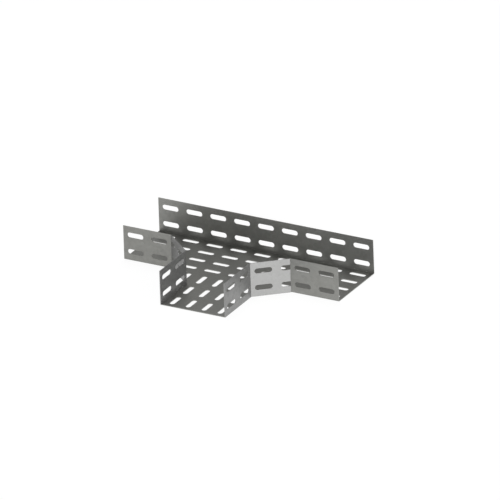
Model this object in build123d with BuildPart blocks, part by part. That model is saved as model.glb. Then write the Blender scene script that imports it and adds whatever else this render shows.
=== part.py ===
from build123d import *
from math import hypot
import os

# Cable tray tee in perforated steel sheet: a straight run, and a branch that leaves its near side
# through two slanted walls. X follows the run and the branch points to -Y. The origin is on the
# underside of the floor, where the centre lines of the run and the branch cross.

# Sheet
sheet = 1.0  # thickness
bend_radius = 0.2  # inside every fold, which is tight
relief_width = 2.0  # notch that ends a fold in the middle of the sheet

# Walls
run_width = 100.0  # clear width of the run
branch_width = 100.0  # clear width of the branch
wall_height = 51.0  # underside to top edge
run_wall_length = 75.0  # near wall of the run, at each end
branch_wall_length = 75.0  # straight wall of the branch
splay_along_run = 43.75  # slanted wall, measured along the run
splay_along_branch = 37.5  # slanted wall, measured along the branch

# Punched slots
slot_length = 25.0  # over the round ends
slot_width = 7.5
slot_pitch = 37.5  # between centres, along the slots
row_pitch = 25.0  # between rows
rounding = 0.001  # share of a pitch that may be lost in a division

# Places that follow from these sizes
run_half = run_width / 2
branch_half = branch_width / 2
mouth = branch_half + splay_along_run  # where the near walls of the run end
run_end = mouth + run_wall_length
branch_start = run_half + splay_along_branch  # where the branch becomes straight
branch_end = branch_start + branch_wall_length
splay_length = hypot(splay_along_run, splay_along_branch)
fold_start = run_half - bend_radius  # where the flat floor of the run turns into a fold
wall_middle = (sheet / 2 + wall_height) / 2  # half way up, from the middle of the floor's sheet
through = 2 * sheet  # half the reach of a punch


def fitting(length, pitch):
    return int(length / pitch + rounding)


def from_edge(count):
    return [slot_pitch * (place + 0.5) for place in range(count)]


def centred(count, pitch):
    return [pitch * (place - (count - 1) / 2) for place in range(count)]


def floor_half(y):
    # Half the width of the branch floor, which widens between the slanted walls
    return branch_half + splay_along_run * max(0, y + branch_start) / splay_along_branch


# Centres of the slots: along the run, in its near walls, and in the straight walls of the branch
run_columns = centred(fitting(2 * run_end, slot_pitch), slot_pitch)
near_columns = [run_end - x for x in from_edge(fitting(run_wall_length, slot_pitch))]
branch_columns = [y - branch_end for y in from_edge(fitting(branch_wall_length, slot_pitch))]

# The slanted wall has the same punching from its bend on, so its last slots are cut off by its edge
splay_columns = from_edge(fitting(splay_length, slot_pitch) + 1)

# Rows of slots over each other in every wall, and side by side in the floor of the run
wall_rows = [wall_middle + z for z in centred(fitting(wall_height, row_pitch), row_pitch)]
run_rows = centred(fitting(run_width, row_pitch), row_pitch)

# Branch floor: rows from its front edge up to the run, as wide as the floor is at each row
branch_rows = [y - branch_end for y in from_edge(fitting(branch_end - run_half, slot_pitch))]
floor_columns = fitting(branch_width, row_pitch) + 2 * fitting(splay_along_run, row_pitch)
widest_row = centred(floor_columns, row_pitch)
branch_slots = [(x, y) for y in branch_rows for x in widest_row if abs(x) < floor_half(y)]


# Body: one folded sheet with the whole floor, the back wall and the two near walls of the run
with BuildPart() as tee_body:
    # The run as a folded channel
    with BuildSketch(Plane.YZ):
        with BuildLine():
            FilletPolyline(
                (-run_half, wall_height),
                (-run_half, sheet),
                (run_half, sheet),
                (run_half, wall_height),
                radius=bend_radius,
            )
            offset(amount=sheet, side=Side.RIGHT)
        make_face()
    extrude(amount=run_end, both=True)

    # The near wall is left out across the mouth of the branch, fold and all
    with BuildSketch():
        with Locations((0, -fold_start)):
            Rectangle(2 * mouth, bend_radius + sheet, align=(Align.CENTER, Align.MAX))
    extrude(amount=wall_height, mode=Mode.SUBTRACT)

    # Floor of the branch, wide at the run, with corners that follow the bends of the side strips
    with BuildSketch() as branch_floor:
        with BuildLine():
            Polyline(
                (-mouth, -fold_start),
                (-mouth, -run_half),
                (-branch_half, -branch_start),
                (-branch_half, -branch_end),
                (branch_half, -branch_end),
                (branch_half, -branch_start),
                (mouth, -run_half),
                (mouth, -fold_start),
                close=True,
            )
        make_face()
        fillet(branch_floor.vertices().group_by(Axis.Y)[1], radius=bend_radius + sheet)
    extrude(amount=sheet)

    # Round-ended notches where the folds of the near walls stop
    with BuildSketch():
        for side in (-1, 1):
            with Locations((side * (mouth - relief_width / 2), -fold_start - through)):
                SlotOverall(2 * (through + sheet), relief_width, rotation=90)
    extrude(amount=through, both=True, mode=Mode.SUBTRACT)

    # Slots in the floor: along the run, and along the branch
    with BuildSketch():
        with Locations(*[(x, y) for x in run_columns for y in run_rows]):
            SlotOverall(slot_length, slot_width)
        with Locations(*branch_slots):
            SlotOverall(slot_length, slot_width, rotation=90)
    extrude(amount=through, both=True, mode=Mode.SUBTRACT)

    # Slots in the back wall
    with BuildSketch(Plane.XZ.offset(-run_half)):
        with Locations(*[(x, z) for x in run_columns for z in wall_rows]):
            SlotOverall(slot_length, slot_width)
    extrude(amount=through, both=True, mode=Mode.SUBTRACT)

    # Slots in the near walls
    with BuildSketch(Plane.XZ.offset(run_half)):
        with Locations(*[(side * x, z) for side in (-1, 1) for x in near_columns for z in wall_rows]):
            SlotOverall(slot_length, slot_width)
    extrude(amount=through, both=True, mode=Mode.SUBTRACT)

tee_body.part.label = "tee_body"


# Side strip: straight wall of the branch and slanted wall in one bent piece. It stands against the
# cut edge of the floor, and its upright end butts against the end of the run's near wall.
slanted_wall = Plane(
    origin=(branch_half, -branch_start, 0),
    x_dir=(splay_along_run, splay_along_branch, 0),
    z_dir=(splay_along_branch, -splay_along_run, 0),
)

with BuildPart() as right_branch_side:
    with BuildSketch():
        with BuildLine():
            FilletPolyline(
                (mouth, -run_half),
                (branch_half, -branch_start),
                (branch_half, -branch_end),
                radius=bend_radius + sheet,
            )
            offset(amount=sheet, side=Side.LEFT)
        make_face()
    extrude(amount=wall_height)
    split(bisect_by=Plane.YZ.offset(mouth), keep=Keep.BOTTOM)

    with BuildSketch(Plane.YZ.offset(branch_half)):
        with Locations(*[(y, z) for y in branch_columns for z in wall_rows]):
            SlotOverall(slot_length, slot_width)
    extrude(amount=through, both=True, mode=Mode.SUBTRACT)

    with BuildSketch(slanted_wall):
        with Locations(*[(x, z) for x in splay_columns for z in wall_rows]):
            SlotOverall(slot_length, slot_width)
    extrude(amount=through, both=True, mode=Mode.SUBTRACT)

right_branch_side.part.label = "right_branch_side"

with BuildPart() as left_branch_side:
    mirror(right_branch_side.part, about=Plane.YZ)

left_branch_side.part.label = "left_branch_side"


os.makedirs("parts", exist_ok=True)
export_step(tee_body.part, "parts/tee_body.step")
export_step(right_branch_side.part, "parts/right_branch_side.step")
export_step(left_branch_side.part, "parts/left_branch_side.step")
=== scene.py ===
import math
import bmesh
import bpy
from mathutils import Matrix, Vector


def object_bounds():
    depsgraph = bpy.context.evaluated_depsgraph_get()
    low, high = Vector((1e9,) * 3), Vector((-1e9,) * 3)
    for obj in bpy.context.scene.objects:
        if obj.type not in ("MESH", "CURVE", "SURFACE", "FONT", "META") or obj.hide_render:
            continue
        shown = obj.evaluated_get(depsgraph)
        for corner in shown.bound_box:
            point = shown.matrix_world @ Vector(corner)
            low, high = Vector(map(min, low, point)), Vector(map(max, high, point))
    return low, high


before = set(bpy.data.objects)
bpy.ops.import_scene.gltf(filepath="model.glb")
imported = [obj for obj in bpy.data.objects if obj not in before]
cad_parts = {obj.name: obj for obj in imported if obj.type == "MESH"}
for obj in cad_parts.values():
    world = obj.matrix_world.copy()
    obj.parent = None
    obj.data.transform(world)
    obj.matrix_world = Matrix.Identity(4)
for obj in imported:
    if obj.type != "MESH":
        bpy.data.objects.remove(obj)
cadLow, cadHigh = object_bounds()
print("frame loaded:", sorted(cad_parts))


class Wire:  # a socket that adds Math nodes when it stands in an expression
    def __init__(self, nodes, socket):
        self.nodes = nodes
        self.socket = socket

    def maths(self, operation, *values):
        return self.nodes.add("ShaderNodeMath", {"operation": operation}, dict(enumerate(values)))

    def __add__(self, other):
        return self.maths("ADD", self, other)

    def __radd__(self, other):
        return self.maths("ADD", other, self)

    def __sub__(self, other):
        return self.maths("SUBTRACT", self, other)

    def __rsub__(self, other):
        return self.maths("SUBTRACT", other, self)

    def __mul__(self, other):
        return self.maths("MULTIPLY", self, other)

    def __rmul__(self, other):
        return self.maths("MULTIPLY", other, self)

    def __truediv__(self, other):
        return self.maths("DIVIDE", self, other)

    def __abs__(self):
        return self.maths("ABSOLUTE", self)

    def root(self):
        return self.maths("SQRT", self)

    def fraction(self):
        return self.maths("FRACT", self)

    def above(self, limit):
        return self.maths("GREATER_THAN", self, limit)

    def atLeast(self, other):
        return self.maths("MAXIMUM", self, other)

    def atMost(self, other):
        return self.maths("MINIMUM", self, other)

    def part(self, name):  # another output of the same node
        return Wire(self.nodes, self.socket.node.outputs[name])


class Nodes:  # the nodes of one material or world
    def __init__(self, owner):
        owner.use_nodes = True
        self.tree = owner.node_tree
        self.tree.nodes.clear()

    def add(self, kind, settings=None, sockets=None, output=0):
        made = self.tree.nodes.new(kind)
        for name, value in (settings or {}).items():
            if name == "stops":  # of a colour ramp, as pairs of place and grey
                while len(made.color_ramp.elements) < len(value):
                    made.color_ramp.elements.new(1.0)
                for element, (place, grey) in zip(made.color_ramp.elements, value):
                    element.position = place
                    element.color = (grey, grey, grey, 1.0)
            else:
                setattr(made, name, value)
        for name, value in (sockets or {}).items():
            if isinstance(value, Wire):
                self.tree.links.new(value.socket, made.inputs[name])
            else:
                made.inputs[name].default_value = value
        return Wire(self, made.outputs[output]) if made.outputs else None


# Where the sheet is punched and bent, in metres
punching = {
    "pitch": 0.0375,  # between slots, along them
    "rowPitch": 0.025,
    "length": 0.025,
    "width": 0.0075,
    "wallRow": 0.01325,  # height of the lower row in every wall
    "foldTop": 0.0012,  # where a wall starts to stand upright
    "runHalf": 0.05,
    "branchHalf": 0.05,
    "branchStart": 0.0875,  # from the run's middle to the bend of a side
    "splayAlongRun": 0.04375,
    "splayAlongBranch": 0.0375,
}

# Galvanised sheet: dull zinc with a faint spangle and a rolled grain, brighter where it was cut.
# Sizes are in metres, and depths and gains are shares of the shade or of the roughness.
zincSheet = {
    "shade": 0.26,
    "metal": 0.9,
    "roughness": 0.42,
    "cloudSize": 0.05,
    "cloudDetail": 4.0,
    "cloudDepth": 0.06,
    "stainSize": 0.05 / 0.7,  # patches of the warmer tint
    "spangleSize": 0.0045,
    "spangleDepth": 0.05,
    "grainPitch": 0.00045,
    "grainRun": 0.03,
    "grainDepth": 0.05,
    "fineDetail": 2.0,  # of stains and grain
    "rimWidth": 0.0004,
    "rimGain": 0.12,
    "rimPolish": 0.08,
    "unevenRoughness": 0.5,  # of the clouds and the spangle
    "reliefDepth": 0.00004,
    "reliefStrength": 0.25,
    "spangleRelief": 0.6,  # beside the grain's
}

# One finish for the folded body and one for the two bent sides
zincFinishes = {
    "zincBody": {
        "on": ("tee_body",),
        "coolTint": (0.99, 1.0, 0.965, 1.0),
        "warmTint": (1.0, 0.995, 0.92, 1.0),
        "cloudSeed": 1.0,
        "grainSeed": 4.0,
        "stainSeed": 10.0,
    },
    "zincSides": {
        "on": ("right_branch_side", "left_branch_side"),
        "coolTint": (0.995, 1.0, 1.0, 1.0),
        "warmTint": (1.0, 0.998, 0.975, 1.0),
        "cloudSeed": 7.0,
        "grainSeed": 10.0,
        "stainSeed": 16.0,
    },
}


def nearest(value, pitch, start):  # distance to the nearest of evenly spaced places
    share = ((value - start) / pitch).fraction()
    return share.atMost(1 - share) * pitch


def slotRim(along, across, firstAlong, firstAcross):  # 1 on the edge of a slot, 0 away from it
    radius = punching["width"] / 2
    straight = punching["length"] / 2 - radius
    endways = (nearest(along, punching["pitch"], firstAlong) - straight).atLeast(0.0)
    sideways = nearest(across, punching["rowPitch"], firstAcross)
    distance = abs((endways * endways + sideways * sideways).root() - radius)
    return (1 - distance / zincSheet["rimWidth"]).atLeast(0.0)


def cutEdges(x, y, z, isBody):  # mask of the punched rims and the sheared ends of the sheet
    rim = zincSheet["rimWidth"]
    floorRow, wallRow = punching["rowPitch"] / 2, punching["wallRow"]
    branchSlot = cadLow.y + punching["pitch"] / 2
    if isBody:
        onWall = z.above(punching["foldTop"])
        onRun = (y + punching["runHalf"]).above(0.0)
        holes = slotRim(x, z, 0.0, wallRow) * onWall
        holes = holes + slotRim(x, y, 0.0, floorRow) * onRun * (1 - onWall)
        holes = holes + slotRim(y, x, branchSlot, floorRow) * (1 - onRun) * (1 - onWall)
        ends = (abs(x) - (cadHigh.x - rim)).above(0.0)
    else:
        slanted = (y + punching["branchStart"]).above(0.0)
        splay = Vector((punching["splayAlongRun"], punching["splayAlongBranch"])).normalized()
        sideways = abs(x) - punching["branchHalf"]
        along = sideways * splay.x + (y + punching["branchStart"]) * splay.y
        holes = slotRim(y, z, branchSlot, wallRow) * (1 - slanted)
        holes = holes + slotRim(along, z, punching["pitch"] / 2, wallRow) * slanted
        ends = 0.0
    front = ((cadLow.y + rim) - y).above(0.0)
    top = (z - (cadHigh.z - rim)).above(0.0)
    return holes.atLeast(top).atLeast(front).atLeast(ends)


def noise(nodes, place, seed, scale, detail):
    return nodes.add(
        "ShaderNodeTexNoise",
        {"noise_dimensions": "4D"},
        {"Vector": place, "W": seed, "Scale": scale, "Detail": detail},
    )


def swing(pattern, depth):  # a pattern of 0 to 1, made to swing by this depth about 0
    return (pattern - 0.5) * (2 * depth)


def zincPatterns(nodes, place, isBody, choice):  # clouds, stains, spangle and grain, each 0 to 1
    cloud = noise(
        nodes, place, choice["cloudSeed"], 1 / zincSheet["cloudSize"], zincSheet["cloudDetail"]
    )
    stain = noise(
        nodes, place, choice["stainSeed"], 1 / zincSheet["stainSize"], zincSheet["fineDetail"]
    )
    crystals = nodes.add(
        "ShaderNodeTexVoronoi",
        {"feature": "F1"},
        {"Vector": place, "Scale": 1 / zincSheet["spangleSize"], "Randomness": 1.0},
        output="Color",
    )
    spangle = nodes.add("ShaderNodeSeparateColor", {}, {"Color": crystals}, output="Red")
    across, along = 1 / zincSheet["grainPitch"], 1 / zincSheet["grainRun"]
    stretched = nodes.add(
        "ShaderNodeMapping",
        {"vector_type": "POINT"},
        {"Vector": place, "Scale": (along, across if isBody else along, across)},
    )
    grain = noise(nodes, stretched, choice["grainSeed"], 1.0, zincSheet["fineDetail"])
    return cloud, stain, spangle, grain


def galvanisedSheet(name, choice):
    isBody = "tee_body" in choice["on"]
    finish = bpy.data.materials.new(name)
    nodes = Nodes(finish)
    place = nodes.add("ShaderNodeTexCoord", output="Object")
    x = nodes.add("ShaderNodeSeparateXYZ", {}, {0: place})
    bare = cutEdges(x, x.part("Y"), x.part("Z"), isBody)

    cloud, stain, spangle, grain = zincPatterns(nodes, place, isBody, choice)
    clouded = swing(cloud, zincSheet["cloudDepth"])
    spangled = swing(spangle, zincSheet["spangleDepth"])
    grained = swing(grain, zincSheet["grainDepth"])
    level = 1 + clouded + spangled + grained + bare * zincSheet["rimGain"]
    tint = nodes.add(
        "ShaderNodeMix",
        {"data_type": "RGBA"},
        {0: stain, 6: choice["coolTint"], 7: choice["warmTint"]},
        output=2,
    )
    colour = nodes.add(
        "ShaderNodeVectorMath", {"operation": "SCALE"}, {0: tint, "Scale": level * zincSheet["shade"]}
    )
    uneven = zincSheet["unevenRoughness"]
    dull = zincSheet["roughness"] + uneven * clouded - uneven * spangled
    relief = nodes.add(
        "ShaderNodeBump",
        {},
        {
            "Height": grain + zincSheet["spangleRelief"] * spangle,
            "Strength": zincSheet["reliefStrength"],
            "Distance": zincSheet["reliefDepth"],
        },
    )
    surface = nodes.add(
        "ShaderNodeBsdfPrincipled",
        {},
        {
            "Base Color": colour,
            "Metallic": zincSheet["metal"],
            "Roughness": dull - zincSheet["rimPolish"] * bare,
            "Normal": relief,
        },
    )
    nodes.add("ShaderNodeOutputMaterial", {}, {"Surface": surface})
    return finish


for finishName, choice in zincFinishes.items():
    sheetFinish = galvanisedSheet(finishName, choice)
    for nodeName in choice["on"]:
        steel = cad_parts[nodeName]
        steel.data.materials.clear()
        steel.data.materials.append(sheetFinish)
print("zinc finishes made:", len(zincFinishes))


# White floor: it shows white to the camera and to the metal, and its matt part takes the shadow
floorSheet = {
    "size": 40.0,
    "gap": 0.0004,  # under the tray
    "glow": 0.93,  # with the light on its matt part this is white
    "grey": 0.11,  # of the matt part
}


def floorFinish():
    finish = bpy.data.materials.new("whiteFloor")
    nodes = Nodes(finish)
    rays = nodes.add("ShaderNodeLightPath", output="Is Camera Ray")
    seen = rays.atLeast(rays.part("Is Glossy Ray")).atLeast(rays.part("Is Transmission Ray"))
    grey = floorSheet["grey"]
    matt = nodes.add("ShaderNodeBsdfDiffuse", {}, {"Color": (grey, grey, grey, 1.0)})
    glow = nodes.add(
        "ShaderNodeEmission", {}, {"Color": (1.0, 1.0, 1.0, 1.0), "Strength": seen * floorSheet["glow"]}
    )
    both = nodes.add("ShaderNodeAddShader", {}, {0: matt, 1: glow})
    nodes.add("ShaderNodeOutputMaterial", {}, {"Surface": both})
    return finish


def makeFloor():
    shape = bmesh.new()
    bmesh.ops.create_grid(shape, x_segments=1, y_segments=1, size=floorSheet["size"] / 2)
    bmesh.ops.translate(shape, verts=shape.verts, vec=(0, 0, cadLow.z - floorSheet["gap"]))
    mesh = bpy.data.meshes.new("studioFloor")
    shape.to_mesh(mesh)
    shape.free()
    mesh.materials.append(floorFinish())
    floor = bpy.data.objects.new("studioFloor", mesh)
    bpy.context.scene.collection.objects.link(floor)


makeFloor()
print("floor laid")

# Room: white along the horizon and grey above
room = {
    "levels": ((0.0, 1.0), (0.12, 1.0), (0.3, 0.45), (0.5, 0.35)),  # sine of the elevation, and grey
}


def makeRoom():
    world = bpy.data.worlds.new("studioRoom")
    bpy.context.scene.world = world
    nodes = Nodes(world)
    direction = nodes.add("ShaderNodeTexCoord", output="Generated")
    height = nodes.add("ShaderNodeSeparateXYZ", {}, {0: direction}, output="Z")
    level = nodes.add("ShaderNodeValToRGB", {"stops": room["levels"]}, {"Fac": height})
    sky = nodes.add("ShaderNodeBackground", {}, {"Color": level, "Strength": 1.0})
    nodes.add("ShaderNodeOutputWorld", {}, {"Surface": sky})


makeRoom()

# Soft lamps, each aimed at the middle of the tray: angles in degrees, sizes in metres
lamps = {
    "rightWindow": {
        "azimuth": 60.0,
        "elevation": 4.0,
        "distance": 3.0,
        "width": 1.4,
        "height": 0.35,
        "watts": 56.5,
    },
    "frontWindow": {
        "azimuth": 35.0,
        "elevation": 4.0,
        "distance": 3.0,
        "width": 1.4,
        "height": 0.35,
        "watts": 46.6,
    },
    "rearSkylight": {
        "azimuth": -150.0,
        "elevation": 70.0,
        "distance": 2.5,
        "width": 1.2,
        "height": 1.2,
        "watts": 18.6,
    },
}


def away(azimuth, elevation):  # unit vector towards a viewer at this angle; 0 looks along +Y
    turn, rise = math.radians(azimuth), math.radians(elevation)
    level = math.cos(rise)
    return Vector((math.sin(turn) * level, -math.cos(turn) * level, math.sin(rise)))


def makeLamps():
    middle = (cadLow + cadHigh) / 2
    for name, lamp in lamps.items():
        data = bpy.data.lights.new(name, "AREA")
        data.shape = "RECTANGLE"
        data.size = lamp["width"]
        data.size_y = lamp["height"]
        data.energy = lamp["watts"]
        obj = bpy.data.objects.new(name, data)
        bpy.context.scene.collection.objects.link(obj)
        back = away(lamp["azimuth"], lamp["elevation"])
        obj.location = middle + back * lamp["distance"]
        obj.rotation_euler = back.to_track_quat("Z", "Y").to_euler()


makeLamps()
print("room lit by", len(lamps), "lamps")

# Parallel view of the photograph: angles in degrees, the rest in metres
picture = {
    "azimuth": 29.521,
    "elevation": 24.665,
    "roll": 2.042,
    "frameWidth": 0.68941,
    "shiftRight": 0.00093,
    "shiftUp": 0.02247,
    "distance": 3.0,
}


def makeCamera():
    data = bpy.data.cameras.new("photoView")
    data.type = "ORTHO"
    data.ortho_scale = picture["frameWidth"]
    data.clip_end = 2 * floorSheet["size"]
    obj = bpy.data.objects.new("photoView", data)
    bpy.context.scene.collection.objects.link(obj)
    back = away(picture["azimuth"], picture["elevation"])
    level = Vector((0, 0, 1)).cross(back).normalized()
    upright = back.cross(level)
    turn = math.radians(picture["roll"])
    right = level * math.cos(turn) - upright * math.sin(turn)
    up = level * math.sin(turn) + upright * math.cos(turn)
    aim = right * picture["shiftRight"] + up * picture["shiftUp"]
    place = Matrix((right, up, back)).transposed().to_4x4()
    place.translation = aim + back * picture["distance"]
    obj.matrix_world = place
    bpy.context.scene.camera = obj


makeCamera()
bpy.context.scene.view_settings.view_transform = "Standard"
